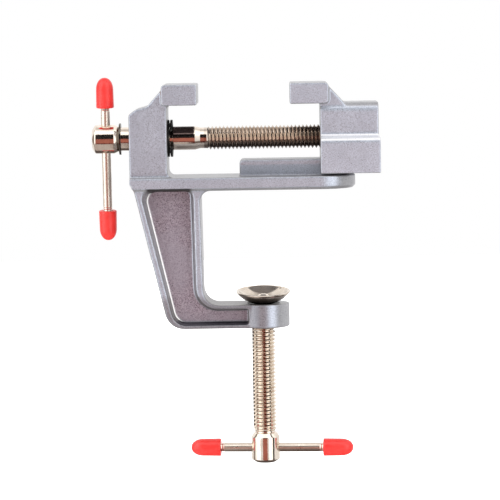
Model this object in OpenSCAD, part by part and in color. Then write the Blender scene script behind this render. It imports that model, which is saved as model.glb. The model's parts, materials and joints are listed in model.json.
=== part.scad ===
/* [Casting] */
// Width of the beam and of both jaw plates, along Y
body_w = 23; // [20:0.5:28]
// Thickness of the beam that rests on the table edge
beam_t = 4.4; // [3:0.1:5]
// Distance from the clamp screw's axis back to the left face of the beam
beam_back = 43.3; // [42.5:0.1:46]
// Distance from that axis to the centre of the beam's round end
beam_front = 19.6; // [18:0.1:30]
// Width of the upright under the fixed jaw, along Y
upright_w = 18; // [15:0.5:19]
// Thickness of that upright, along the spindle
upright_t = 12.5; // [11.5:0.1:14]
// Radius of the boss that carries the clamp screw
boss_r = 8.7; // [7.5:0.1:10]
// Height of that boss
boss_h = 7.8; // [6.5:0.1:9]
// Opening under the beam, down to the boss
throat_h = 38.2; // [34:0.1:39]
// Distance from the clamp screw's axis to the spine
throat_d = 20.2; // [17:0.1:21]
// Thickness of the web between the two pockets of the spine
web_t = 6.5; // [4:0.5:8]

/* [Jaws] */
// Opening between the jaw plates in the drawn position
jaw_gap = 30.5; // [29.5:0.1:31.5]
// Distance from the clamp screw's axis back to the fixed jaw's face
jaw_face = 20.8; // [20:0.1:23]
// Height of the lower edge of the jaw plates above the table
jaw_low = 28.1; // [27.5:0.1:30]
// Height of the jaw plates
jaw_h = 6.85; // [6.2:0.05:10]
// Thickness of the fixed jaw plate, along the spindle
jaw_t = 11.6; // [10.5:0.1:13]
// Length of the moving jaw's block, along the spindle
block_l = 19.7; // [16:0.1:24]

/* [Screws] */
// Outer diameter of both threads
thread_d = 7.86; // [7.7:0.02:8.2]
// Pitch of both threads
pitch = 1.25; // [1:0.05:1.5]
// Height of the jaw spindle's axis above the table
spindle_z = 17; // [16.5:0.1:18]
// Diameter of the head of each spindle
head_d = 9.5; // [9:0.1:11]
// Length of the jaw spindle's head with its cone
jaw_head_l = 8.9; // [8.4:0.05:9.4]
// Length of the clamp spindle's head with its cone
clamp_head_l = 9.9; // [9.5:0.1:12]

/* [Tommy bars] */
// Diameter of each bar
bar_d = 3; // [2.4:0.1:3.4]
// Bare length of a bar between its two caps
bar_bare = 34.4; // [30:0.1:40]
// Outer diameter of a vinyl cap
cap_d = 5.9; // [5:0.1:7]
// Length of a vinyl cap
cap_l = 10; // [9:0.1:14]
// How far the jaw bar hangs below its middle
jaw_bar_drop = 6.7; // [0:0.1:10]
// How far the jaw bar's top is turned towards the front, in degrees
jaw_bar_turn = 5; // [-30:1:30]
// How far the clamp bar is pushed to the right of its middle
clamp_bar_shift = 2.2; // [0:0.1:10]
// How far the clamp bar's left end is turned towards the front, in degrees
clamp_bar_turn = -4.4; // [-30:0.1:30]

/* [Clamp pad] */
// Diameter of the dished pad
pad_d = 18; // [16:0.5:18.5]
// Outer radius of the dish's spherical shell
pad_r = 11.6; // [11:0.05:12.5]
// Thickness of that shell
pad_t = 0.9; // [0.6:0.1:1.1]
// Angle by which the loose pad leans forward
pad_lean = 6; // [0:1:7]

/* [Hidden] */
$fn = 96;

eps = 0.01;
// how far a cutting shape runs past what it cuts
over = 1;
cast_colour = "silver";
nickel_colour = [0.86, 0.82, 0.76];
black_colour = [0.08, 0.08, 0.09];
cap_colour = [0.95, 0.25, 0.22];

// running clearance of a screw or a shaft in its bore, on the radius
fit = 0.07;
// clearance of the moving jaw on its rail
slide_gap = 0.12;
half_w = body_w / 2;
upright_x = -beam_back + upright_t;
beam_edge = 0.9;
upright_fillet = 2.2;
plate_fillet = 1.4;
plate_round = 1.2;

// rail: wide at the top, narrow at its foot
rail_start = -7.1;
rail_end = 29;
rail_top_w = 12;
rail_foot_w = 8.8;
rail_h = 5.4;
rail_lip = 1.6;
rail_chamfer = 0.8;

// spine and arm: the outer face slopes from the beam's back corner in to the arm
spine_top_x = -41.9;
spine_low_x = -32.1;
spine_low_z = -42.6;
arm_low = -throat_h - boss_h;
spine_corner = 6.4;
throat_top_r = 3.4;
throat_low_r = 5.2;
throat_draft = 0.6;
back_step = 1.6;
arm_half = 7.3;

// pockets on both sides of the web: the flanges at their rims, and the walls' draft in steps
flange_outer = 1.9;
flange_inner = 2.2;
arm_flange = 0.95;
pocket_end = -4.9;
pocket_top_r = 2.2;
pocket_low_r = 4.2;
pocket_draft = 0.09;
pocket_steps = 6;

// moving jaw
move_face = jaw_gap - jaw_face;
move_jaw_t = 12.8;
block_x = 19.6;
block_top = 28.3;
block_low = 5.1;
block_round = 2.8;
shoulder_low = 15.2;
shoulder_r = 1.9;
cove_r = 1.6;
wide_step = 0.5;
rib_foot = 8.1;
rib_top = 34.7;

// jaw spindle, along +X from its head
shank_d = 7.8;
root_d = 6.4;
neck_d = 6.9;
head_x = -55.8;
jaw_hole_in = 4.45;
jaw_head_cone = 1.6;
head_chamfer = 1;
head_chamfer_r = 1.4;
shank_end = -21.8;
thread_runout = 1.8;
thread_start = -18.2;
spindle_end = 37.2;
crest_from = 0.44;
crest_to = 0.56;

// washers and clip on the jaw spindle
head_washer_t = 0.65;
head_washer_d = 10.5;
stack_gap = 0.02;
washer_t = 0.55;
wave_t = 0.38;
wave_d = 10.1;
clip_t = 0.7;
clip_d = 12.3;
clip_inner_d = 9.4;
clip_groove_d = 6;
clip_tab_w = 2.4;
clip_mouth = 5.2;
clip_mouth_depth = 1.6;

// clamp spindle, along -Z from the pad
seat_z = -throat_h - 1.35;
clamp_head_top = -81.8;
clamp_thread_end = -81.6;
clamp_hole_in = 4.8;
clamp_head_cone = 1.4;
clamp_bar_z = clamp_head_top - clamp_head_l + clamp_hole_in;

// pad, its seat washer and its rivet
pad_low = -throat_h - 0.6;
pad_hole_d = 3.8;
pad_steps = 20;
seat_d = 10.4;
seat_rim = 0.5;
seat_floor = 0.35;
seat_top = -throat_h - 0.25;
seat_recess_d = 10.9;
seat_recess = 1.5;
rivet_d = 3.2;
rivet_depth = 7;
rivet_head_d = 4.6;
rivet_head_h = 2;
rivet_gap = 0.75;

// tommy bars and their caps
bar_fit = 0.12;
cap_seat = 6.6;
cap_dome = 3.1;
cap_lip = 0.25;
bar_chamfer = 0.4;
crimp_w = 0.5;
crimp_depth = 0.15;

// points on an arc about [x, y], from angle a to angle b
function arc(x, y, r, a, b, n = 8) =
    [for (i = [0:n]) [x + r * cos(a + (b - a) * i / n), y + r * sin(a + (b - a) * i / n)]];

// the round corner at point q between the lines from p and to s
function corner(p, q, s, r, n = 8) =
    let (u = (p - q) / norm(p - q), v = (s - q) / norm(s - q),
         half = acos(u * v) / 2, along = r / tan(half), m = (u + v) / norm(u + v),
         c = q + m * r / sin(half), a = q + u * along - c, b = q + v * along - c,
         a0 = atan2(a.y, a.x), turn = atan2(a.x * b.y - a.y * b.x, a * b))
    [for (i = [0:n]) c + r * [cos(a0 + turn * i / n), sin(a0 + turn * i / n)]];

// an outline of [x, y, radius] points with its corners rounded
function rounded(p) =
    let (n = len(p))
    [for (i = [0:n - 1])
        let (a = p[(i + n - 1) % n], b = p[i], c = p[(i + 1) % n])
        each (b.z > 0 ? corner([a.x, a.y], [b.x, b.y], [c.x, c.y], b.z) : [[b.x, b.y]])];

// the points of a half profile followed by their mirror image, for a closed outline
function both_sides(half) =
    concat(half, [for (i = [len(half) - 1:-1:0]) [-half[i].x, half[i].y]]);

// extrudes an outline drawn in X and Z, centred on Y
module slab(w, points) {
    rotate([90, 0, 0]) linear_extrude(w, center = true) polygon(points);
}

// extrudes an outline drawn in Y and Z along +X
module bar_of(length, points) {
    rotate([90, 0, 90]) linear_extrude(length) polygon(points);
}

// turns a profile of [radius, distance] points about the X or the Z axis
module lathe_x(points) { rotate([0, 90, 0]) rotate_extrude() polygon(points); }
module lathe_z(points) { rotate_extrude() polygon(points); }

// crest and root points of a ring thread, from a to b
function thread(a, b) =
    let (n = floor((b - a) / pitch), crest = thread_d / 2, root = root_d / 2)
    [for (i = [0:n - 1]) let (z = a + i * pitch)
        each [[root, z], [crest, z + crest_from * pitch], [crest, z + crest_to * pitch]]];

function thread_end(a, b) = a + floor((b - a) / pitch) * pitch;

module frame_casting() {
    color(cast_colour)
    difference() {
        union() {
            beam();
            upright();
            rail(rail_start, rail_end, 0);
            c_frame();
        }
        translate([-beam_back - over, 0, spindle_z])
            rotate([0, 90, 0]) cylinder(d = shank_d + 2 * fit, h = upright_t + 2 * over);
        translate([0, 0, arm_low - over]) cylinder(d = thread_d + 2 * fit, h = boss_h + 2 * over);
        translate([0, 0, -throat_h - seat_recess])
            cylinder(d = seat_recess_d, h = seat_recess + over);
    }
}

// the beam with its round front end and the small step above the spine
module beam() {
    side = [[half_w - beam_edge, 0], [half_w, beam_edge], [half_w, beam_t]];
    difference() {
        union() {
            translate([-beam_back, 0, 0]) bar_of(beam_back + beam_front, both_sides(side));
            translate([beam_front, 0, 0]) lathe_z(concat([[0, 0]], side, [[0, beam_t]]));
        }
        slab(body_w + 2 * over, [[-beam_back - over, back_step + 1], [-beam_back - over, -over],
                                 [spine_top_x, -over], [spine_top_x, 0],
                                 [-beam_back + 0.4, back_step], [-beam_back, back_step + 1]]);
    }
}

// the upright and its jaw plate, with fillets at the beam and under the plate
module upright() {
    slab(upright_w, rounded([
        [-beam_back, beam_t - eps, 0], [upright_x + upright_fillet + eps, beam_t - eps, 0],
        [upright_x, beam_t, upright_fillet], [upright_x, jaw_low, plate_fillet],
        [upright_x + 2, jaw_low, 0], [upright_x + 2, jaw_low + 4, 0],
        [upright_x - 1, jaw_low + 5.8, 0.8], [upright_x - 6.4, jaw_low - 0.2, 1],
        [-beam_back + 2.3, jaw_low - 1.2, 1.2], [-beam_back, jaw_low - 2.9, 1]]));
    translate([-jaw_face - jaw_t, 0, jaw_low]) jaw_plate(jaw_t);
}

// a jaw plate whose working face is at its +X end and whose back edges are round
module jaw_plate(t) {
    slab(body_w, rounded([[0, 0, plate_round], [t, 0, 0], [t, jaw_h, 0.4],
                          [0, jaw_h, plate_round]]));
}

module rail(from, to, grow) {
    top = rail_top_w / 2 + grow;
    foot = rail_foot_w / 2 + grow;
    z0 = beam_t - eps;
    z1 = beam_t + rail_h + grow;
    intersection() {
        translate([from, 0, 0])
            bar_of(to - from, both_sides([[foot, z0], [top, z1 - rail_lip], [top, z1]]));
        if (grow == 0)
            slab(body_w, [[from, 0], [to, 0], [to, z1], [from + rail_chamfer, z1],
                          [from, z1 - rail_chamfer]]);
    }
}

// spine and arm: a side outline crossed with a front outline that narrows to the arm
module c_frame() {
    difference() {
        union() {
            intersection() {
                slab(body_w, rounded([
                    [spine_top_x, eps, 0], spine_corner_point(), [0, arm_low, 0],
                    [0, -throat_h, 0], [-throat_d + throat_draft, -throat_h, throat_low_r],
                    [-throat_d, 0, throat_top_r], [-throat_d + 2 * throat_top_r, 0, 0],
                    [-throat_d + 2 * throat_top_r, eps, 0]]));
                translate([-beam_back - over, 0, 0])
                    bar_of(beam_back + beam_front, both_sides([
                        [arm_half, arm_low], [half_w - beam_edge, 0], [half_w - beam_edge, over]]));
            }
            translate([0, 0, arm_low]) cylinder(r = boss_r, h = boss_h);
        }
        for (side = [-1, 1]) pocket(side);
    }
}

// where the spine's outer line would meet the arm's lower face
function spine_corner_point() =
    [spine_low_x + (spine_top_x - spine_low_x) * (arm_low - spine_low_z) / -spine_low_z,
     arm_low, spine_corner];

// one pocket, cut from the side down to the web, up to the beam and into the boss's side
module pocket(side) {
    depth = half_w - web_t / 2;
    for (i = [0:pocket_steps - 1])
        translate([0, side * (web_t / 2 + depth * i / pocket_steps + half_w / 2), 0])
            slab(half_w, pocket_outline(pocket_draft * depth * (1 - (i + 0.5) / pocket_steps)));
}

// the outline of a pocket at the level where its walls have come in by inset
function pocket_outline(inset) =
    let (slope = (spine_top_x - spine_low_x) / -spine_low_z,
         edge = (flange_outer + inset) * sqrt(1 + slope * slope),
         inner = -throat_d + throat_draft - flange_inner - inset,
         low = arm_low + arm_flange + inset, high = -throat_h - arm_flange - inset)
    rounded([[spine_top_x + edge, 0, pocket_top_r + 2 * inset],
             [spine_low_x + edge + slope * (low - spine_low_z), low, pocket_low_r + inset / 2],
             [pocket_end, low, 0], [pocket_end, high, 0],
             [inner, high, throat_low_r + flange_inner], [inner - throat_draft, 0, pocket_top_r]]);

module moving_jaw() {
    color(cast_colour)
    difference() {
        union() {
            block();
            jaw_rib();
            translate([move_face + move_jaw_t, 0, jaw_low]) mirror([1, 0, 0])
                jaw_plate(move_jaw_t);
        }
        rail(block_x - over, block_x + block_l + over, slide_gap);
        translate([block_x - over, 0, spindle_z]) rotate([0, 90, 0])
            cylinder(d = thread_d + 2 * fit, h = block_l + 2 * over);
    }
}

// the block: a wide foot whose round shoulder runs through a cove into the narrower top
module block() {
    w = upright_w / 2;
    r = block_round;
    shoulder_y = half_w - shoulder_r;
    turn = acos((w + cove_r - shoulder_y) / (shoulder_r + cove_r));
    cove_z = shoulder_low + (shoulder_r + cove_r) * sin(turn);
    foot = concat([[half_w, block_low]], arc(shoulder_y, shoulder_low, shoulder_r, 0, turn));
    top = concat([[w, shoulder_low]], arc(w + cove_r, cove_z, cove_r, 180 + turn, 180),
                 arc(w - r, block_top - r, r, 0, 90));
    translate([block_x, 0, 0]) bar_of(block_l, both_sides(foot));
    translate([block_x, 0, 0]) bar_of(block_l - wide_step, both_sides(top));
}

// the rib that carries the moving jaw's plate
module jaw_rib() {
    slab(upright_w - 1, rounded([
        [block_x, jaw_low - 4, 0], [block_x + rib_foot, jaw_low - 4, 0],
        [block_x + rib_foot, block_top - 0.2, 0], [block_x + 2, rib_top, 0.8],
        [block_x - 1, rib_top, 0], [block_x - 1.8, jaw_low, 0], [block_x, jaw_low, 0]]));
}

// a head along +Z: flat end, cross hole turned about the axis, and a cone to the shank
module spindle_head(length, cone, hole_in, turn) {
    r = head_d / 2;
    difference() {
        lathe_z([[0, 0], [r - head_chamfer_r, 0], [r, head_chamfer], [r, length - cone],
                 [shank_d / 2, length], [0, length]]);
        translate([0, 0, hole_in]) rotate(90 + turn) rotate([90, 0, 0])
            cylinder(d = bar_d + 2 * bar_fit, h = head_d + 2 * over, center = true);
    }
}

module jaw_spindle() {
    clip_a = upright_x + stack_gap + washer_t;
    clip_b = clip_a + wave_t + clip_t + 3 * stack_gap;
    groove = clip_groove_d / 2;
    s = shank_d / 2;
    last = thread_end(thread_start, spindle_end);
    color(nickel_colour)
    union() {
        translate([head_x, 0, spindle_z]) rotate([0, 90, 0])
            spindle_head(jaw_head_l, jaw_head_cone, jaw_hole_in, jaw_bar_turn);
        translate([0, 0, spindle_z])
            lathe_x(concat(
                [[0, head_x + jaw_head_l - eps], [s, head_x + jaw_head_l - eps], [s, clip_a],
                 [groove, clip_a], [groove, clip_b], [s, clip_b], [s, shank_end],
                 [neck_d / 2, shank_end + thread_runout], [neck_d / 2, thread_start]],
                thread(thread_start, spindle_end),
                [[root_d / 2, last], [0, last]]));
    }
}

// a ring about the X axis
module ring(t, inner, outer) {
    lathe_x([[inner / 2, 0], [outer / 2, 0], [outer / 2, t], [inner / 2, t]]);
}

// a ring on the jaw spindle's axis, whose left face is at x
module spindle_ring(x, t, inner, outer) {
    translate([x, 0, spindle_z]) ring(t, inner, outer);
}

module head_washer() {
    color(nickel_colour) spindle_ring(head_x + jaw_head_l + stack_gap, head_washer_t,
                                      shank_d + 2 * fit, head_washer_d);
}

module thrust_washer() {
    color(black_colour)
        spindle_ring(upright_x + stack_gap, washer_t, shank_d + 2 * fit, clip_d);
}

module wave_washer() {
    color(black_colour)
        spindle_ring(upright_x + washer_t + 2 * stack_gap, wave_t - 2 * stack_gap,
                     shank_d + 4 * fit, wave_d);
}

// an E-clip: a ring open towards the front, with three tabs in the spindle's groove
module retaining_clip() {
    color(black_colour)
    translate([upright_x + stack_gap + washer_t + wave_t, 0, spindle_z])
    difference() {
        union() {
            ring(clip_t, clip_inner_d, clip_d);
            intersection() {
                ring(clip_t, clip_groove_d + 2 * stack_gap, clip_inner_d + 2 * fit);
                for (a = [-148, 0, 148]) rotate([a, 0, 0])
                    translate([0, 0, -clip_tab_w / 2]) cube([clip_t, clip_d / 2, clip_tab_w]);
            }
        }
        translate([-over, -clip_d, -clip_mouth / 2])
            cube([clip_t + 2 * over, clip_d - clip_mouth_depth, clip_mouth]);
    }
}

// a bar along Z about its own middle, with a crimped ring beside each cap
module tommy_bar() {
    end = bar_bare / 2 + cap_seat;
    r = bar_d / 2;
    half = [[0, 0], [r, 0], [r, bar_bare / 2 - 3 * crimp_w],
            [r - crimp_depth, bar_bare / 2 - 2 * crimp_w], [r, bar_bare / 2 - crimp_w],
            [r, end - bar_chamfer], [r - bar_chamfer, end], [0, end]];
    for (side = [0, 1]) mirror([0, 0, side]) lathe_z(half);
}

// a vinyl cap on the +Z end of a bar: open end flat, far end domed
module bar_cap() {
    r = cap_d / 2;
    n = 10;
    translate([0, 0, bar_bare / 2]) lathe_z(concat(
        [[bar_d / 2, 0], [r - cap_lip, 0], [r, cap_lip], [r, cap_l - cap_dome]],
        [for (i = [1:n]) let (a = 90 * i / n)
            [r * cos(a), cap_l - cap_dome + cap_dome * sin(a)]],
        [[0, cap_seat], [bar_d / 2, cap_seat]]));
}

module jaw_bar_place() {
    translate([head_x + jaw_hole_in, 0, spindle_z]) rotate([jaw_bar_turn, 0, 0])
        translate([0, 0, -jaw_bar_drop]) children();
}

module clamp_bar_place() {
    translate([0, 0, clamp_bar_z]) rotate([0, 0, clamp_bar_turn])
        translate([clamp_bar_shift, 0, 0]) rotate([0, 90, 0]) children();
}

module jaw_bar() { color(nickel_colour) jaw_bar_place() tommy_bar(); }
module jaw_bar_cap_upper() { color(cap_colour) jaw_bar_place() bar_cap(); }
module jaw_bar_cap_lower() { color(cap_colour) jaw_bar_place() mirror([0, 0, 1]) bar_cap(); }
module clamp_bar() { color(nickel_colour) clamp_bar_place() tommy_bar(); }
module clamp_bar_cap_right() { color(cap_colour) clamp_bar_place() bar_cap(); }
module clamp_bar_cap_left() { color(cap_colour) clamp_bar_place() mirror([0, 0, 1]) bar_cap(); }

module clamp_spindle() {
    last = thread_end(clamp_thread_end, seat_z);
    color(nickel_colour)
    difference() {
        union() {
            translate([0, 0, clamp_head_top - clamp_head_l])
                spindle_head(clamp_head_l, clamp_head_cone, clamp_hole_in, clamp_bar_turn);
            lathe_z(concat(
                [[0, clamp_head_top - eps], [neck_d / 2, clamp_head_top - eps],
                 [neck_d / 2, clamp_thread_end]],
                thread(clamp_thread_end, seat_z),
                [[root_d / 2, last], [root_d / 2, seat_z], [0, seat_z]]));
        }
        translate([0, 0, seat_z - rivet_depth]) cylinder(d = rivet_d, h = rivet_depth + over);
    }
}

// seat washer: flat on the spindle, hollowed to clear the rocking pad
module pad_washer() {
    color(black_colour)
        lathe_z([[pad_hole_d / 2, seat_z], [seat_d / 2, seat_z], [seat_d / 2, seat_top],
                 [seat_d / 2 - seat_rim, seat_top], [pad_hole_d / 2, seat_z + seat_floor]]);
}

// the dish is a spherical shell, drawn upright and then leant about its lowest point
module clamp_pad() {
    inner = pad_r - pad_t;
    edge = asin(pad_d / 2 / pad_r);
    hole_out = asin(pad_hole_d / 2 / pad_r);
    hole_in = asin(pad_hole_d / 2 / inner);
    color(nickel_colour)
    translate([0, 0, pad_low]) rotate([pad_lean, 0, 0])
        lathe_z(concat(arc(0, pad_r, pad_r, hole_out - 90, edge - 90, pad_steps),
                       arc(0, pad_r, inner, edge - 90, hole_in - 90, pad_steps)));
}

// the rivet that holds the pad: a shank in the spindle and a head above the dish
module pad_rivet() {
    low = pad_low + pad_t + rivet_gap;
    foot = seat_z - rivet_depth + 0.3;
    r = rivet_head_d / 2;
    color(nickel_colour)
        lathe_z([[0, foot], [rivet_d / 2, foot], [rivet_d / 2, low], [r, low],
                 [r, low + rivet_head_h * 0.55], [r * 0.75, low + rivet_head_h * 0.88],
                 [r * 0.3, low + rivet_head_h], [0, low + rivet_head_h]]);
}

frame_casting();
moving_jaw();
jaw_spindle();
head_washer();
thrust_washer();
wave_washer();
retaining_clip();
jaw_bar();
jaw_bar_cap_upper();
jaw_bar_cap_lower();
clamp_spindle();
pad_washer();
clamp_pad();
pad_rivet();
clamp_bar();
clamp_bar_cap_left();
clamp_bar_cap_right();
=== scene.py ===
"""A small clamp-on hobby vise: finished meshes, materials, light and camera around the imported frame."""
import json
from math import atan2, cos, pi, radians, sin

import bmesh
import bpy
import numpy as np
from mathutils import Matrix, Quaternion, Vector


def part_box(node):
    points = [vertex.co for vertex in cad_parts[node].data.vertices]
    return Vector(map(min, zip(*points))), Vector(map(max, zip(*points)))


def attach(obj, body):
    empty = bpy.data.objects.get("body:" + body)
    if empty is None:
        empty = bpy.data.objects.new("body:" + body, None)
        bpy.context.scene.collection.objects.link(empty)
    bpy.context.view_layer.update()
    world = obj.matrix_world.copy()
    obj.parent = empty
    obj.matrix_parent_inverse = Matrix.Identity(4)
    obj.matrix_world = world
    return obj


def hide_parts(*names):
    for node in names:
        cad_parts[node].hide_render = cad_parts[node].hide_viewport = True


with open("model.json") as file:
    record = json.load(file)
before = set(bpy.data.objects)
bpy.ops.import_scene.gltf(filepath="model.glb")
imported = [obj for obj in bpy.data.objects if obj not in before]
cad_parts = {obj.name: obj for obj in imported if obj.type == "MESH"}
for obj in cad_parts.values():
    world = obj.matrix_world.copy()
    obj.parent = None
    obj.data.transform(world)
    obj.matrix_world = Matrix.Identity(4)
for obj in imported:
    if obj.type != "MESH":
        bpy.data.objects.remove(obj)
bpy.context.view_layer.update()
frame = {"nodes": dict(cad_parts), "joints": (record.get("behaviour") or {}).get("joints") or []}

MM = 0.001
NODES = frame["nodes"]
JOINTS = {joint["name"]: joint for joint in frame["joints"]}

# sizes in millimetres that the frame's boxes don't give directly
PITCH = 1.25
ROOT_R = 3.18
NECK_R = 3.45
SHANK_R = 3.9
HEAD_R = 4.75
BAR_R = 1.5
# a bar's length between its two caps
BAR_BARE = 34.4
CAP_LENGTH = 10.0
CAP_R = 2.95
# how far a bar reaches into its cap
CAP_SEAT = 6.6
THREAD_R = 3.93
WASHER_BORE_R = 4.0
# half the web between the two pockets of the spine
WEB_HALF = 3.25

# points round each turned piece
SEGMENTS = 96


# ---------------------------------------------------------------- mesh helpers

def add_object(name, mesh):
    piece = bpy.data.objects.new(name, mesh)
    bpy.context.scene.collection.objects.link(piece)
    return piece


def mesh_from(name, points, faces, place):
    """A mesh from points in millimetres, put in place in the row frame."""
    mesh = bpy.data.meshes.new(name)
    mesh.from_pydata([place @ Vector(p) for p in points], [], faces)
    work = bmesh.new()
    work.from_mesh(mesh)
    bmesh.ops.remove_doubles(work, verts=work.verts, dist=0.0004 * MM)
    bmesh.ops.dissolve_degenerate(work, edges=work.edges, dist=0.0002 * MM)
    bmesh.ops.recalc_face_normals(work, faces=work.faces)
    work.to_mesh(mesh)
    work.free()
    return mesh


def clamp(value):
    return min(1, max(0, value))


def shade(mesh, sharp_above):
    """Smooth shading, except over edges sharper than an angle in degrees."""
    mesh.shade_smooth()
    mesh.set_sharp_from_angle(angle=radians(sharp_above))


def along(axis, at):
    """The placement that turns +Z to an axis and millimetres to metres, at a point in metres."""
    turn = Vector(axis).normalized().to_track_quat("Z", "Y").to_matrix().to_4x4()
    return Matrix.Translation(Vector(at)) @ turn @ Matrix.Scale(MM, 4)


def apply_modifiers(piece):
    """Bakes a piece's modifiers into its mesh."""
    bpy.context.view_layer.update()
    graph = bpy.context.evaluated_depsgraph_get()
    mesh = bpy.data.meshes.new_from_object(piece.evaluated_get(graph))
    piece.modifiers.clear()
    piece.data = mesh


def rounded(points, steps=5):
    """An open profile of (radius, distance, fillet) points with its corners rounded."""
    out = []
    for i, (x, y, fillet) in enumerate(points):
        here = Vector((x, y))
        if fillet == 0 or i in (0, len(points) - 1):
            out.append((x, y))
            continue
        back = Vector(points[i - 1][:2]) - here
        ahead = Vector(points[i + 1][:2]) - here
        half = back.angle(ahead) / 2
        reach = fillet / np.tan(half)
        centre = here + (back.normalized() + ahead.normalized()).normalized() * fillet / sin(half)
        start = here + back.normalized() * reach - centre
        end = here + ahead.normalized() * reach - centre
        turn = atan2(start.x * end.y - start.y * end.x, start.dot(end))
        for k in range(steps + 1):
            a = atan2(start.y, start.x) + turn * k / steps
            out.append((centre.x + fillet * cos(a), centre.y + fillet * sin(a)))
    return out


def circle_rows(rows):
    """Points of rings about Z, one ring for each list of (radius, distance) by angle."""
    return [(r * cos(2 * pi * j / SEGMENTS), r * sin(2 * pi * j / SEGMENTS), z)
            for row in rows for j, (r, z) in enumerate(row)]


def grid_faces(rows, closed):
    """Quads between neighbouring rings, and round to the first ring if closed."""
    faces = []
    for i in range(rows if closed else rows - 1):
        a, b = i * SEGMENTS, (i + 1) % rows * SEGMENTS
        for j in range(SEGMENTS):
            k = (j + 1) % SEGMENTS
            faces.append((a + j, a + k, b + k, b + j))
    return faces


def lathe(name, profile, place, closed=False):
    """A turned piece from a profile of (radius, distance) points."""
    rows = [[point] * SEGMENTS for point in profile]
    return mesh_from(name, circle_rows(rows), grid_faces(len(rows), closed), place)


def finish_piece(name, mesh, body, node, material, sharp_above=40):
    """Puts a finished mesh in the scene in the place of a CAD node."""
    shade(mesh, sharp_above)
    piece = add_object(name, mesh)
    piece.data.materials.clear()
    piece.data.materials.append(material)
    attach(piece, body)
    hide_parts(node)
    return piece


# ---------------------------------------------------------------- materials

class Nodes:
    """Short calls for building a node-based material."""

    def __init__(self, name):
        self.material = bpy.data.materials.new(name)
        self.material.use_nodes = True
        self.tree = self.material.node_tree
        self.shader = self.tree.nodes["Principled BSDF"]
        self.place = self.add("ShaderNodeTexCoord").outputs["Object"]

    def add(self, kind, **settings):
        node = self.tree.nodes.new(kind)
        for key, value in settings.items():
            setattr(node, key, value)
        return node

    def link(self, source, target):
        self.tree.links.new(source, target)

    def put(self, node, key, value):
        """Sets an input to a number, or links it to a socket."""
        if isinstance(value, bpy.types.NodeSocket):
            self.link(value, node.inputs[key])
        else:
            node.inputs[key].default_value = value

    def noise(self, grain_mm, detail=3, roughness=0.55):
        """A noise from 0 to 1 whose blobs are about grain_mm across."""
        node = self.add("ShaderNodeTexNoise")
        self.link(self.place, node.inputs["Vector"])
        self.put(node, "Scale", 1 / (grain_mm * MM))
        self.put(node, "Detail", detail)
        self.put(node, "Roughness", roughness)
        return node.outputs["Fac"]

    def spread(self, value, low, high, to_low=0.0, to_high=1.0):
        """Maps the range from low to high onto another, and clamps it."""
        node = self.add("ShaderNodeMapRange", interpolation_type="SMOOTHSTEP")
        self.put(node, "Value", value)
        for key, number in (("From Min", low), ("From Max", high),
                            ("To Min", to_low), ("To Max", to_high)):
            self.put(node, key, number)
        return node.outputs["Result"]

    def math(self, operation, a, b=0.0):
        node = self.add("ShaderNodeMath", operation=operation)
        self.put(node, 0, a)
        self.put(node, 1, b)
        return node.outputs["Value"]

    def product(self, first, *others):
        for other in others:
            first = self.math("MULTIPLY", first, other)
        return first

    def mix(self, amount, a, b):
        """A colour between a and b."""
        node = self.add("ShaderNodeMix", data_type="RGBA")
        self.put(node, 0, amount)
        for key, colour in ((6, a), (7, b)):
            self.put(node, key, colour if isinstance(colour, bpy.types.NodeSocket)
                     else (*colour, 1))
        return node.outputs[2]

    def scaled(self, colour, factors):
        """A colour with each channel multiplied."""
        node = self.add("ShaderNodeMix", data_type="RGBA", blend_type="MULTIPLY")
        self.put(node, 0, 1.0)
        self.put(node, 6, colour)
        self.put(node, 7, (*factors, 1))
        return node.outputs[2]

    def bump(self, height, depth_mm, strength=1.0):
        node = self.add("ShaderNodeBump")
        self.put(node, "Height", height)
        self.put(node, "Distance", depth_mm * MM)
        self.put(node, "Strength", strength)
        return node.outputs["Normal"]

    def edges(self, low, high):
        """1 on convex edges and 0 on flat faces."""
        return self.spread(self.add("ShaderNodeNewGeometry").outputs["Pointiness"], low, high)

    def position(self):
        split = self.add("ShaderNodeSeparateXYZ")
        self.link(self.place, split.inputs[0])
        return split.outputs

    def normal(self):
        split = self.add("ShaderNodeSeparateXYZ")
        self.link(self.add("ShaderNodeNewGeometry").outputs["Normal"], split.inputs[0])
        return split.outputs

    def finish(self, **inputs):
        for key, value in inputs.items():
            self.put(self.shader, key.replace("_", " "), value)
        return self.material


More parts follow.
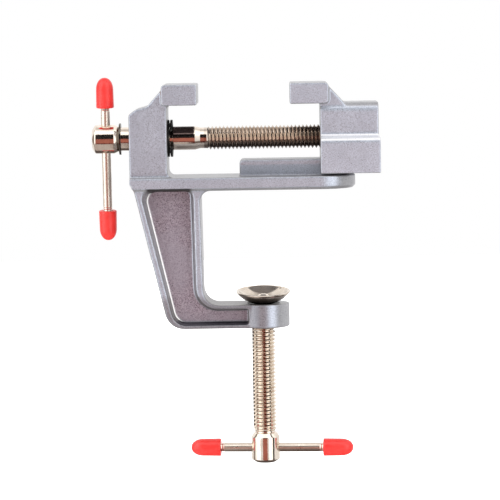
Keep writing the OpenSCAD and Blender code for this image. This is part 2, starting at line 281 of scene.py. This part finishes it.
def casting_material(name, pocket_half=None, painted_face_gain=1.0):
    """Satin die casting with a fine sparkle and rough floors in the pockets of the frame, and with
    painted light:
    front and back faces painted brighter than the other faces, painted highlights on the upper edges, on
    the jaw's shoulder and in the pockets' fillets, and painted shade on the arm, the pockets' low walls
    and under the beam."""
    m = Nodes(name)
    sparkle = m.noise(0.34, 2, 0.75)
    cloud = m.noise(8, 3)
    tone = m.mix(m.spread(cloud, 0.35, 0.65), (0.47, 0.50, 0.575), (0.53, 0.565, 0.645))
    tone = m.mix(m.spread(sparkle, 0.40, 0.60), (0.385, 0.41, 0.475), tone)
    # painted light and shade: faces turned to the front and back are painted brighter, the other faces
    # darker and warmer
    painted_face_light = m.spread(m.math("ABSOLUTE", m.normal()["Y"]), 0.75, 0.97)
    tone = m.mix(painted_face_light, m.scaled(tone, (0.74, 0.69, 0.63)), m.scaled(tone, (painted_face_gain,) * 3))
    # painted highlight: convex edges above the arm are painted lighter
    above_arm = m.spread(m.position()["Z"], -36 * MM, -33 * MM)
    edge_painted_highlight = m.product(m.edges(0.53, 0.60), above_arm, 0.5)
    tone = m.mix(edge_painted_highlight, tone, (0.72, 0.73, 0.75))
    if pocket_half:
        # painted shade: the arm and the left of the boss are painted darker
        tone = m.mix(arm_painted_shade(m), tone, m.scaled(tone, (0.60, 0.56, 0.54)))
    else:
        # painted highlight: the upper side of the moving jaw's shoulder is painted lighter
        tone = m.mix(shoulder_painted_highlight(m), tone, (0.70, 0.70, 0.72))
    rough = m.spread(sparkle, 0.3, 0.7, 0.27, 0.40)
    height = m.math("ADD", m.noise(0.5, 3, 0.65), m.math("MULTIPLY", m.noise(3, 2), 1.2))
    if pocket_half:
        on_floor = pocket_floor(m, pocket_half)
        grit = m.noise(0.34, 3, 0.8)
        dark = m.mix(m.spread(grit, 0.40, 0.60), (0.21, 0.17, 0.205), (0.50, 0.43, 0.495))
        dark = m.mix(m.spread(m.noise(16, 2), 0.35, 0.65, 0, 0.6), dark, (0.40, 0.37, 0.43))
        tone = m.mix(on_floor, tone, dark)
        # painted highlight: the fillets at the pockets' left walls are painted near white
        tone = m.mix(fillet_painted_highlight(m), tone, (0.95, 0.94, 0.92))
        # painted shade: the pockets' low walls are painted near black
        tone = m.mix(pocket_ledge_painted_shade(m), tone, (0.035, 0.034, 0.045))
        # painted shade: the beam's downward-facing lower edge over the spine is painted near black
        tone = m.mix(under_beam_painted_shade(m), tone, (0.05, 0.045, 0.045))
        height = m.math("ADD", height, m.product(grit, 2.5, on_floor))
    return m.finish(Base_Color=tone, Roughness=rough, Metallic=0.55,
                    Normal=m.bump(height, 0.05, 0.7))


def arm_painted_shade(m):
    """1 on the arm and the left side of the boss, which are painted darker than the rest: painted shade.
    """
    x, _, z = m.position()
    return m.product(m.spread(x, 0, 3 * MM, 1, 0), m.spread(z, -37 * MM, -34 * MM, 1, 0))


def shoulder_painted_highlight(m):
    """1 on the rounded shoulder of the moving jaw where it faces up, which is painted lighter: a painted
    highlight.
    """
    z = m.position()["Z"]
    return m.product(m.spread(z, 15.3 * MM, 15.9 * MM), m.spread(z, 17.6 * MM, 18.2 * MM, 1, 0),
                     m.spread(m.normal()["Z"], 0.2, 0.5))


def pocket_floor(m, half_mm):
    """1 on the floors of the two pockets, from where a point lies and which way it faces."""
    _, y, z = m.position()
    facing = m.spread(m.math("ABSOLUTE", m.normal()["Y"]), 0.95, 0.985)
    deep = m.spread(m.math("ABSOLUTE", y), (half_mm + 0.1) * MM, (half_mm + 0.4) * MM, 1, 0)
    below = m.spread(z, -0.3 * MM, 0.0, 1, 0)
    return m.product(facing, deep, below)


def fillet_painted_highlight(m):
    """1 on the smooth fillet between a pocket's floor and the outer flange of the spine, which is painted
    near white: a painted highlight.
    """
    x, y, _ = m.position()
    normal = m.normal()
    deep = m.spread(m.math("ABSOLUTE", y), 4.5 * MM, 5.5 * MM, 1, 0)
    return m.product(m.spread(normal["X"], 0.12, 0.35),
                     m.spread(m.math("ABSOLUTE", normal["Y"]), 0.45, 0.7),
                     deep, m.spread(x, -25 * MM, -22 * MM, 1, 0))


def under_beam_painted_shade(m):
    """1 on the lower edge of the beam over the spine, which is painted near black: painted shade."""
    x, _, z = m.position()
    level = m.product(m.spread(z, -1.2 * MM, -0.6 * MM), m.spread(z, 0.7 * MM, 1.1 * MM, 1, 0))
    spine = m.product(m.spread(x, -38.5 * MM, -37 * MM), m.spread(x, -24 * MM, -22 * MM, 1, 0))
    return m.product(level, spine, m.spread(m.normal()["Z"], -0.25, -0.1, 1, 0))


def pocket_ledge_painted_shade(m):
    """1 on the low walls of the pockets, which face up and are painted near black: painted shade."""
    upward = m.spread(m.normal()["Z"], 0.35, 0.75)
    return m.product(upward, m.spread(m.position()["Z"], -43.5 * MM, -43 * MM, 1, 0))


# where the upper side of the jaw spindle's shank is painted darker, in X: painted shade
SHANK_SHADE_SPAN = (-31, -22)


def nickel_material(name, rough=(0.08, 0.16), brightness=1.0, greased_and_shaded_from=None, pad_painted_shade_below=None):
    """Warm bright nickel plate, faintly uneven and a little tarnished. The jaw spindle is greased from an
    X in millimetres on, with painted shade in the thread's roots, on its lower side and on the shank's
    upper side, and the pad is painted darker below a Z: painted shade."""
    m = Nodes(name)
    grain = m.noise(0.5, 3, 0.6)
    stain = m.noise(3.5, 4, 0.65)
    tone = m.mix(m.spread(stain, 0.35, 0.75), (0.82, 0.735, 0.64), (0.68, 0.58, 0.49))
    if brightness != 1:
        tone = m.scaled(tone, (brightness,) * 3)
    if greased_and_shaded_from is not None:
        # painted shade on the jaw thread's roots and lower side, and on the shank's upper side
        tone = shank_painted_shade(m, greased_and_shaded_thread(m, tone, greased_and_shaded_from))
    if pad_painted_shade_below is not None:
        # painted shade: the pad is painted darker below a height
        above = m.spread(m.position()["Z"], (pad_painted_shade_below - 3) * MM, pad_painted_shade_below * MM)
        tone = m.mix(above, m.scaled(tone, (0.22, 0.20, 0.18)), tone)
    uneven = m.math("ADD", grain, stain)
    return m.finish(Base_Color=tone, Metallic=1.0, Roughness=m.spread(uneven, 0.7, 1.3, *rough),
                    Normal=m.bump(uneven, 0.012, 0.5))


def greased_and_shaded_thread(m, tone, start):
    """A tone that turns greasy brown from an X on, with painted shade darkest in the roots and on the
    lower side, and darker further out along X.
    """
    # painted shade: the thread's roots are painted near black
    grease_and_shade = m.mix(m.edges(0.42, 0.52), (0.09, 0.07, 0.06), m.scaled(tone, (0.80, 0.77, 0.76)))
    x, _, z = m.position()
    # painted shade: the thread's lower side is painted darker
    thread_painted_shade_below = m.spread(z, 13.4 * MM, 16.6 * MM, 1, 0)
    far = m.spread(x, 8 * MM, 20 * MM, 0, 0.6)
    grease_and_shade = m.mix(m.math("MAXIMUM", thread_painted_shade_below, far), grease_and_shade, m.scaled(grease_and_shade, (0.24, 0.21, 0.20)))
    return m.mix(m.spread(x, (start - 0.5) * MM, start * MM), tone, grease_and_shade)


def shank_painted_shade(m, tone):
    """A tone painted darker on the upper side of the jaw spindle's shank: painted shade."""
    low, high = SHANK_SHADE_SPAN
    x, _, z = m.position()
    painted_dark = m.product(m.spread(x, low * MM, (low + 1) * MM),
                      m.spread(x, (high - 0.3) * MM, high * MM, 1, 0),
                      m.spread(z, 17.2 * MM, 18.4 * MM))
    return m.mix(painted_dark, tone, m.scaled(tone, (0.16, 0.13, 0.14)))


def black_material():
    """Black oxide with a thin oil film, and grey where the edges are rubbed."""
    m = Nodes("black_oxide")
    cloud = m.noise(0.8, 3)
    tone = m.mix(m.spread(cloud, 0.3, 0.7), (0.004, 0.004, 0.004), (0.010, 0.009, 0.009))
    tone = m.mix(m.edges(0.60, 0.72), tone, (0.05, 0.048, 0.045))
    return m.finish(Base_Color=tone, Specular_IOR_Level=0.12,
                    Roughness=m.spread(cloud, 0.3, 0.7, 0.38, 0.52),
                    Normal=m.bump(cloud, 0.02, 0.5))


def vinyl_material():
    """Soft dipped vinyl: a glossy red skin with a faint orange-peel and slightly uneven colour."""
    m = Nodes("red_vinyl")
    peel = m.noise(0.9, 2)
    cloud = m.noise(4, 2)
    tone = m.mix(m.spread(cloud, 0.3, 0.7), (0.68, 0.017, 0.013), (0.77, 0.028, 0.022))
    return m.finish(Base_Color=tone, Roughness=m.spread(peel, 0.3, 0.7, 0.28, 0.38),
                    Normal=m.bump(m.math("ADD", peel, m.math("MULTIPLY", cloud, 1.5)), 0.03, 0.4),
                    Subsurface_Weight=0.12, Subsurface_Radius=(1.0, 0.25, 0.2),
                    Subsurface_Scale=0.6 * MM)


# ---------------------------------------------------------------- castings

# the most triangles a casting keeps; a finer one is thinned to it; the export takes at
# most 200,000 triangles a piece
CAST_TRIANGLES = 190_000
# extra smoothing of the spine and the arm, which evens out the steps of the pockets' draft
SPINE_PASSES = 22


def cast_piece(name, node, body, material, voxel=0.26, passes=8):
    """A die casting from its CAD solid: every edge and inner corner gets a small radius."""
    piece = add_object(name, NODES[node].data.copy())
    remesh = piece.modifiers.new("remesh", "REMESH")
    remesh.mode = "VOXEL"
    remesh.voxel_size = voxel * MM
    soften = piece.modifiers.new("soften", "SMOOTH")
    soften.factor = 0.5
    soften.iterations = passes
    apply_modifiers(piece)
    soft = piece.vertex_groups.new(name="spine_and_arm")
    for vertex in piece.data.vertices:
        x, _, z = vertex.co / MM
        soft.add([vertex.index], clamp(-z / 2) * clamp((-x - 4.5) / 4), "REPLACE")
    soften = piece.modifiers.new("soften_spine", "SMOOTH")
    soften.factor, soften.iterations, soften.vertex_group = 0.5, SPINE_PASSES, soft.name
    apply_modifiers(piece)
    triangles = sum(len(face.vertices) - 2 for face in piece.data.polygons)
    if triangles > CAST_TRIANGLES:
        thin = piece.modifiers.new("thin", "DECIMATE")
        thin.ratio = CAST_TRIANGLES / triangles
        apply_modifiers(piece)
    mesh = piece.data
    bpy.data.objects.remove(piece)
    return finish_piece(name, mesh, body, node, material, 180)


# ---------------------------------------------------------------- screws

def tooth(phase):
    """Height of a rolled thread, from 0 at its root to 1 at its crest, over one pitch."""
    t = 1 - abs(2 * (phase % 1) - 1)
    return clamp((t - 0.12) / 0.78)


# where the rings lie within one pitch, closest together round the crest
TOOTH_STEPS = (0, 0.07, 0.105, 0.25, 0.395, 0.42, 0.45, 0.5, 0.55, 0.58, 0.605, 0.75, 0.895, 0.93)


def ease(value):
    value = clamp(value)
    return value * value * (3 - 2 * value)


def thread_rows(start, end, crest, runout, chamfer):
    """Rings sheared along a right-hand helix, and clamped to the thread's two ends."""
    rows = []
    turns = int((end - start) / PITCH) + 1
    for k in range(-1, turns + 1):
        for step in TOOTH_STEPS:
            row = []
            for j in range(SEGMENTS):
                helix = start + (k + step + j / SEGMENTS) * PITCH
                z = min(end, max(start, helix))
                height = tooth((z - start) / PITCH - j / SEGMENTS)
                radius = ROOT_R + (crest - ROOT_R) * height
                fade = ease((z - start) / runout)
                radius = NECK_R + (radius - NECK_R) * fade
                row.append((min(radius, ROOT_R - 0.25 + (end - z) * chamfer), z))
            rows.append(row)
    return rows


def spindle(name, node, body, profile, thread_end, hole_at, hole_axis, material):
    """A screw along +Z from its head, with a cross hole for its bar."""
    place = screw_place(node)
    rows = [[point] * SEGMENTS for point in rounded(profile)]
    rows += thread_rows(profile[-1][1], thread_end, THREAD_R, 1.6, 1.1)
    rows.append([(0, thread_end)] * SEGMENTS)
    mesh = mesh_from(name, circle_rows(rows), grid_faces(len(rows), False), place)
    piece = add_object(name, mesh)
    cutter = add_object("cutter", hole_cutter(place @ Vector((0, 0, hole_at)), hole_axis))
    cut = piece.modifiers.new("cross_hole", "BOOLEAN")
    cut.object, cut.operation, cut.solver = cutter, "DIFFERENCE", "EXACT"
    apply_modifiers(piece)
    mesh = piece.data
    for used in (piece, cutter):
        bpy.data.objects.remove(used)
    return finish_piece(name, mesh, body, node, material, 38)


def hole_cutter(at, axis):
    """A drill for the cross hole, with a countersink at both ends."""
    bore, rim, reach = BAR_R + 0.12, 2.2, HEAD_R + 1.5
    half = [(0, reach), (rim + 1.5, reach), (rim, HEAD_R - 0.05), (bore, HEAD_R - 0.70)]
    profile = [(r, -z) for r, z in half] + [(r, z) for r, z in reversed(half)]
    return lathe("cutter", profile, along(axis, at))


def screw_place(node):
    """A screw's placement: its head's flat end at 0 and its thread along +Z."""
    low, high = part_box(node)
    middle = (low + high) / 2
    if node == "jaw_spindle":
        return along((1, 0, 0), (low.x, middle.y, middle.z))
    return along((0, 0, 1), (middle.x, middle.y, low.z))


def jaw_spindle(material):
    head, cone, hole = 8.9, 1.6, 4.45
    low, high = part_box("jaw_spindle")
    length = (high.x - low.x) / MM
    clip_low, clip_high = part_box("retaining_clip")
    groove = (clip_low.x - low.x) / MM - 0.4
    groove_end = (clip_high.x - low.x) / MM + 0.05
    shank_end, thread_start = 34.0, 37.6
    profile = [(0, 0, 0), (HEAD_R - 1.4, 0, 0.6), (HEAD_R, 1.0, 0.7),
               (HEAD_R, head - cone, 0.5), (SHANK_R + 0.1, head, 0.1), (SHANK_R, head + 0.2, 0.1),
               (SHANK_R, groove, 0.08), (3.0, groove, 0.08), (3.0, groove_end, 0.08),
               (SHANK_R, groove_end, 0.12), (SHANK_R, shank_end, 0.8),
               (NECK_R, shank_end + 1.8, 0.8), (NECK_R, thread_start, 0)]
    axis = JOINTS["jaw_bar_slide"]["axis"]
    return spindle("turned_jaw_spindle", "jaw_spindle", "jaw_screw", profile, length, hole,
                   axis, material)


def clamp_spindle(material):
    head, cone, hole = 9.9, 1.4, 4.8
    low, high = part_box("clamp_spindle")
    length = (high.z - low.z) / MM
    profile = [(0, 0, 0), (HEAD_R - 1.4, 0, 0.6), (HEAD_R, 1.0, 0.3), (HEAD_R, head - cone, 0.7),
               (SHANK_R, head - 0.1, 0.2), (NECK_R, head + 0.15, 0)]
    axis = JOINTS["clamp_bar_slide"]["axis"]
    return spindle("turned_clamp_spindle", "clamp_spindle", "clamp_screw", profile, length, hole,
                   axis, material)


# ---------------------------------------------------------------- bars and caps

def tommy_bar(node, body, axis, material):
    """A plated bar with a rolled ring beside each cap."""
    low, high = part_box(node)
    end, ring = BAR_BARE / 2 + CAP_SEAT, BAR_BARE / 2 - 0.9
    half = [(0, end, 0), (BAR_R, end, 0.4), (BAR_R, ring + 0.75, 0.1), (BAR_R - 0.16, ring + 0.45, 0.1),
            (BAR_R, ring + 0.15, 0.1), (BAR_R - 0.1, ring - 0.1, 0.1), (BAR_R, ring - 0.35, 0.1)]
    profile = [(r, -z, f) for r, z, f in half] + [(r, z, f) for r, z, f in reversed(half)]
    mesh = lathe("turned_" + node, rounded(profile, 3), along(axis, (low + high) / 2))
    return finish_piece("turned_" + node, mesh, body, node, material)


def bar_cap(node, bar, body, axis, material):
    """A dipped vinyl cap: a rolled open lip, a slight taper and a long round nose."""
    low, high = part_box(bar)
    middle = (low + high) / 2
    cap_low, cap_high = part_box(node)
    side = 1 if ((cap_low + cap_high) / 2 - middle).dot(Vector(axis)) > 0 else -1
    place = along(Vector(axis) * side, middle + Vector(axis) * side * BAR_BARE / 2 * MM)
    nose, belly = 4.0, CAP_LENGTH - 4.0
    profile = [(BAR_R, CAP_SEAT), (BAR_R, 0.5), (BAR_R + 0.2, 0.12), (BAR_R + 0.5, 0.0),
               (CAP_R - 0.35, 0.0), (CAP_R - 0.1, 0.07), (CAP_R, 0.28)]
    profile += [(CAP_R - 0.10 * k / 6, 0.28 + (belly - 0.28) * k / 6) for k in range(1, 7)]
    wide = CAP_R - 0.10
    for k in range(1, 19):
        a = pi / 2 * k / 18
        profile.append((wide * cos(a) ** 0.93, belly + nose * sin(a) ** 0.97))
    profile.append((0, CAP_SEAT))
    mesh = lathe("dipped_" + node, profile, place, closed=True)
    return finish_piece("dipped_" + node, mesh, body, node, material)


# ---------------------------------------------------------------- washers, clip and pad

def flat_ring(name, node, body, material):
    """A washer on the jaw spindle, with its edges rounded."""
    bore, edge = WASHER_BORE_R, 0.1
    low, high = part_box(node)
    thick, outer = (high.x - low.x) / MM, (high.z - low.z) / 2 / MM
    middle = (low + high) / 2
    profile = [(bore, thick / 2, 0), (bore, 0, edge), (outer, 0, edge), (outer, thick, edge),
               (bore, thick, edge), (bore, thick / 2, 0)]
    place = along((1, 0, 0), (low.x, middle.y, middle.z))
    mesh = lathe(name, rounded(profile, 3)[:-1], place, closed=True)
    return finish_piece(name, mesh, body, node, material)


def wave_washer(material):
    """A thin spring washer bent into three waves."""
    low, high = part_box("wave_washer")
    room, outer = (high.x - low.x) / MM, (high.z - low.z) / 2 / MM
    middle = (low + high) / 2
    thick, inner, waves = 0.16, 4.06, 3
    rows = []
    for r, z in ((inner, 0), (outer, 0), (outer, thick), (inner, thick)):
        rows.append([(r, z + (room - thick) * (0.5 + 0.5 * sin(waves * 2 * pi * j / SEGMENTS)))
                     for j in range(SEGMENTS)])
    place = along((1, 0, 0), (low.x, middle.y, middle.z))
    mesh = mesh_from("sprung_wave_washer", circle_rows(rows), grid_faces(4, True), place)
    return finish_piece("sprung_wave_washer", mesh, "frame", "wave_washer", material)


def bevelled_copy(name, node, body, width, material):
    """A CAD shape with its edges broken."""
    piece = add_object(name, NODES[node].data.copy())
    bevel = piece.modifiers.new("bevel", "BEVEL")
    bevel.width, bevel.segments = width * MM, 3
    bevel.limit_method, bevel.angle_limit = "ANGLE", radians(40)
    apply_modifiers(piece)
    mesh = piece.data
    bpy.data.objects.remove(piece)
    return finish_piece(name, mesh, body, node, material)


def clamp_pad(material):
    """A pressed dish: a thin shell with a flared rolled rim and a hole for the rivet."""
    pivot = Vector(JOINTS["pad_tilt"]["pos_m"])
    lean = radians(6)
    place = along((0, -sin(lean), cos(lean)), pivot)
    outer_r, thick, rim, hole = 11.6, 0.85, 9.0, 1.95
    edge = np.arcsin(rim / outer_r)
    start = np.arcsin(hole / outer_r)
    outside, inside = [], []
    for k in range(25):
        a = start + (edge - start) * k / 24
        outside.append((outer_r * sin(a), outer_r - outer_r * cos(a)))
    for k in range(25):
        a = edge * 0.985 - (edge * 0.985 - start) * k / 24
        r = outer_r - thick
        inside.append((r * sin(a), outer_r - r * cos(a)))
    lip = [(rim + 0.02, outside[-1][1] + 0.22), (rim - 0.14, outside[-1][1] + 0.42),
           (rim - 0.42, outside[-1][1] + 0.50)]
    mesh = lathe("pressed_clamp_pad", outside + lip + inside, place, closed=True)
    return finish_piece("pressed_clamp_pad", mesh, "clamp_disc", "clamp_pad", material)


def pad_rivet(material):
    """The rivet: a shank in the spindle, and a peened head with a dimple."""
    low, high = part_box("pad_rivet")
    middle = (low + high) / 2
    top, head, shank, head_h = (high.z - low.z) / MM, 2.3, 1.6, 2.0
    profile = [(0, 0, 0), (shank, 0, 0.3), (shank, top - head_h, 0.1),
               (head, top - head_h, 0.15), (head, top - 0.9, 0.35), (head - 0.9, top - 0.1, 0.35),
               (0.55, top, 0.15), (0.3, top - 0.35, 0.1), (0, top - 0.4, 0)]
    place = along((0, 0, 1), (middle.x, middle.y, low.z))
    mesh = lathe("peened_pad_rivet", rounded(profile, 4), place)
    return finish_piece("peened_pad_rivet", mesh, "clamp_screw", "pad_rivet", material)


def pad_washer(material):
    """The hollowed seat washer, with teeth round its rim."""
    low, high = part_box("pad_washer")
    middle = (low + high) / 2
    thick, outer, inner, teeth = (high.z - low.z) / MM, (high.x - low.x) / 2 / MM, 1.9, 16
    rows = []
    for r, z in ((inner, 0), (outer, 0), (outer, thick), (outer - 0.5, thick), (inner, 0.5)):
        row = []
        for j in range(SEGMENTS):
            notch = 0.35 if r > outer - 0.1 and (j * teeth / SEGMENTS) % 1 < 0.35 else 0
            row.append((r - notch, z))
        rows.append(row)
    place = along((0, 0, 1), (middle.x, middle.y, low.z))
    mesh = mesh_from("toothed_pad_washer", circle_rows(rows), grid_faces(5, True), place)
    return finish_piece("toothed_pad_washer", mesh, "clamp_carriage", "pad_washer",
                        material, 30)


# ---------------------------------------------------------------- camera, stage and light

def add_camera():
    """The camera looks almost straight at the front, from a little above, and rolls slightly."""
    azimuth, elevation, roll = radians(0.726), radians(5.066), radians(0.939)
    distance, aim = 0.87, Vector((-0.004181, 0, -0.020577))
    away = Vector((sin(azimuth) * cos(elevation), -cos(azimuth) * cos(elevation), sin(elevation)))
    data = bpy.data.cameras.new("camera")
    data.lens, data.sensor_width, data.clip_start = 188.3, 36, 0.01
    camera = add_object("camera", data)
    camera.location = aim + away * distance
    camera.rotation_mode = "QUATERNION"
    camera.rotation_quaternion = Quaternion(-away, roll) @ (-away).to_track_quat("-Z", "Y")
    bpy.context.scene.camera = camera


def add_floor():
    """A plain white floor well below the vise. Polished parts don't mirror it."""
    size, height = 3.0, -0.30
    corners = [(-size, -size, height), (size, -size, height), (size, size, height),
               (-size, size, height)]
    mesh = bpy.data.meshes.new("floor")
    mesh.from_pydata(corners, [], [(0, 1, 2, 3)])
    m = Nodes("floor_paper")
    tone = m.mix(m.noise(40, 2), (0.93, 0.93, 0.93), (0.96, 0.96, 0.96))
    mesh.materials.append(m.finish(Base_Color=tone, Roughness=0.9, Emission_Color=(1, 1, 1, 1),
                                   Emission_Strength=0.55))
    floor = add_object("floor", mesh)
    floor.visible_glossy = False


def card_object(name, corners, colour):
    """A glowing sheet that only polished surfaces see."""
    mesh = bpy.data.meshes.new(name)
    mesh.from_pydata(corners, [], [(0, 1, 2, 3)])
    m = Nodes(name)
    mesh.materials.append(m.finish(Base_Color=(0, 0, 0, 1), Roughness=1.0,
                                   Emission_Color=(*colour, 1), Emission_Strength=1.0,
                                   Specular_IOR_Level=0.0))
    card = add_object(name, mesh)
    card.visible_camera = card.visible_diffuse = card.visible_shadow = False
    return card


def add_card(name, azimuths, elevations, colour):
    """An upright card round the vise, given by the angles it fills."""
    distance = 1.2
    azimuth, elevation = radians(sum(azimuths) / 2), radians(sum(elevations) / 2)
    w = distance * np.tan(radians(azimuths[1] - azimuths[0]) / 2)
    h = distance * np.tan(radians(elevations[1] - elevations[0]) / 2)
    card = card_object(name, [(-w, -h, 0), (w, -h, 0), (w, h, 0), (-w, h, 0)], colour)
    away = Vector((sin(azimuth) * cos(elevation), -cos(azimuth) * cos(elevation), sin(elevation)))
    card.location = away * distance
    card.rotation_mode = "QUATERNION"
    card.rotation_quaternion = away.to_track_quat("Z", "Y")


def add_low_card():
    """A grey sheet lying low on the left, which fills the underside of the jaw spindle's head."""
    right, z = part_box("jaw_spindle")[0].x + 11 * MM, -0.25
    card_object("low_fill", [(-0.45, -0.35, z), (right, -0.35, z), (right, 0.05, z),
                             (-0.45, 0.05, z)], (0.58, 0.52, 0.50))


# the light from each height, from straight down at -1 to straight up at 1
WORLD_FRONT = ((-1, (0.11, 0.09, 0.085)), (-0.56, (0.16, 0.13, 0.12)), (-0.42, (0.85, 0.84, 0.84)),
               (-0.1, (1.0, 1.0, 1.0)), (0.3, (1.2, 1.2, 1.2)), (0.7, (1.8, 1.8, 1.8)),
               (0.95, (1.8, 1.8, 1.8)), (1, (0.9, 0.88, 0.88)))
WORLD_BACK = ((-1, (0.11, 0.09, 0.085)), (-0.6, (0.15, 0.13, 0.125)), (-0.35, (1.0, 1.0, 1.0)),
              (0.85, (1.25, 1.25, 1.25)), (1, (0.60, 0.58, 0.58)))


def add_world():
    """White to the camera. Surfaces see bright light above and around them, and little from below."""
    world = bpy.data.worlds.new("studio")
    bpy.context.scene.world = world
    world.use_nodes = True
    tree = world.node_tree

    def ramp(value, low, high, stops):
        node = tree.nodes.new("ShaderNodeMapRange")
        node.inputs["From Min"].default_value, node.inputs["From Max"].default_value = low, high
        tree.links.new(value, node.inputs["Value"])
        colours = tree.nodes.new("ShaderNodeValToRGB")
        while len(colours.color_ramp.elements) < len(stops):
            colours.color_ramp.elements.new(0.5)
        for element, (at, colour) in zip(colours.color_ramp.elements, stops):
            element.position, element.color = (at - low) / (high - low), (*colour, 1)
        tree.links.new(node.outputs["Result"], colours.inputs[0])
        return colours.outputs["Color"]

    def mix(amount, a, b):
        node = tree.nodes.new("ShaderNodeMix")
        node.data_type = "RGBA"
        tree.links.new(amount, node.inputs[0])
        tree.links.new(a, node.inputs[6])
        if isinstance(b, tuple):
            node.inputs[7].default_value = b
        else:
            tree.links.new(b, node.inputs[7])
        return node.outputs[2]

    split = tree.nodes.new("ShaderNodeSeparateXYZ")
    tree.links.new(tree.nodes.new("ShaderNodeTexCoord").outputs["Generated"], split.inputs[0])
    front = ramp(split.outputs["Z"], -1, 1, WORLD_FRONT)
    back = ramp(split.outputs["Z"], -1, 1, WORLD_BACK)
    behind = ramp(split.outputs["Y"], -1, 1, ((-0.25, (0, 0, 0)), (0.25, (1, 1, 1))))
    seen = tree.nodes.new("ShaderNodeLightPath").outputs["Is Camera Ray"]
    colour = mix(seen, mix(behind, front, back), (1, 1, 1, 1))
    tree.links.new(colour, tree.nodes["Background"].inputs["Color"])


# what stands round the vise: name, azimuths, elevations and colour
CARDS = (("dark_above_camera", (-22, 18), (4, 43), (0.012, 0.010, 0.010)),
         ("red_below_camera", (-22, 16), (-30, 4), (0.46, 0.16, 0.12)),
         ("dark_red_low", (-22, 16), (-46, -30), (0.10, 0.02, 0.015)),
         ("left_softbox", (-82, -42), (-25, 55), (2.2, 2.2, 2.2)),
         ("right_softbox", (28, 58), (-25, 55), (2.0, 2.0, 2.0)),
         ("right_flag", (62, 76), (-60, 60), (0.05, 0.035, 0.03)),
         ("left_flag", (-116, -98), (-50, 45), (0.30, 0.25, 0.22)))


def build():
    nickel = nickel_material("nickel_plate")
    nickel_bar = nickel_material("nickel_bar", rough=(0.26, 0.36))
    black, vinyl = black_material(), vinyl_material()
    cast_piece("cast_frame", "frame_casting", "frame",
               casting_material("cast_frame_satin", WEB_HALF))
    # painted light: the moving jaw's front and back faces are painted a little brighter than the frame's
    cast_piece("cast_moving_jaw", "moving_jaw", "jaw_slider",
               casting_material("cast_jaw_satin", painted_face_gain=1.12))
    jaw_spindle(nickel_material("nickel_jaw_spindle", greased_and_shaded_from=-18.5))
    clamp_spindle(nickel)
    for node, body, joint in (("jaw_bar", "jaw_handle", "jaw_bar_slide"),
                              ("clamp_bar", "clamp_handle", "clamp_bar_slide")):
        axis = JOINTS[joint]["axis"]
        tommy_bar(node, body, axis, nickel_bar)
        for cap in sorted(NODES):
            if cap.startswith(node + "_cap"):
                bar_cap(cap, node, body, axis, vinyl)
    # painted shade: the head washer is nickel painted at a sixth of its brightness
    flat_ring("turned_head_washer", "head_washer", "jaw_screw",
              nickel_material("nickel_washer_painted_shade", brightness=0.16))
    flat_ring("stamped_thrust_washer", "thrust_washer", "frame", black)
    wave_washer(black)
    bevelled_copy("stamped_retaining_clip", "retaining_clip", "jaw_screw", 0.1, black)
    clamp_pad(nickel_material("nickel_pad", rough=(0.09, 0.17), brightness=0.85,
                              pad_painted_shade_below=-35.2))
    pad_rivet(nickel)
    pad_washer(black)


add_camera()
build()
add_floor()
for card in CARDS:
    add_card(*card)
add_low_card()
add_world()
bpy.context.scene.view_settings.view_transform = "Standard"
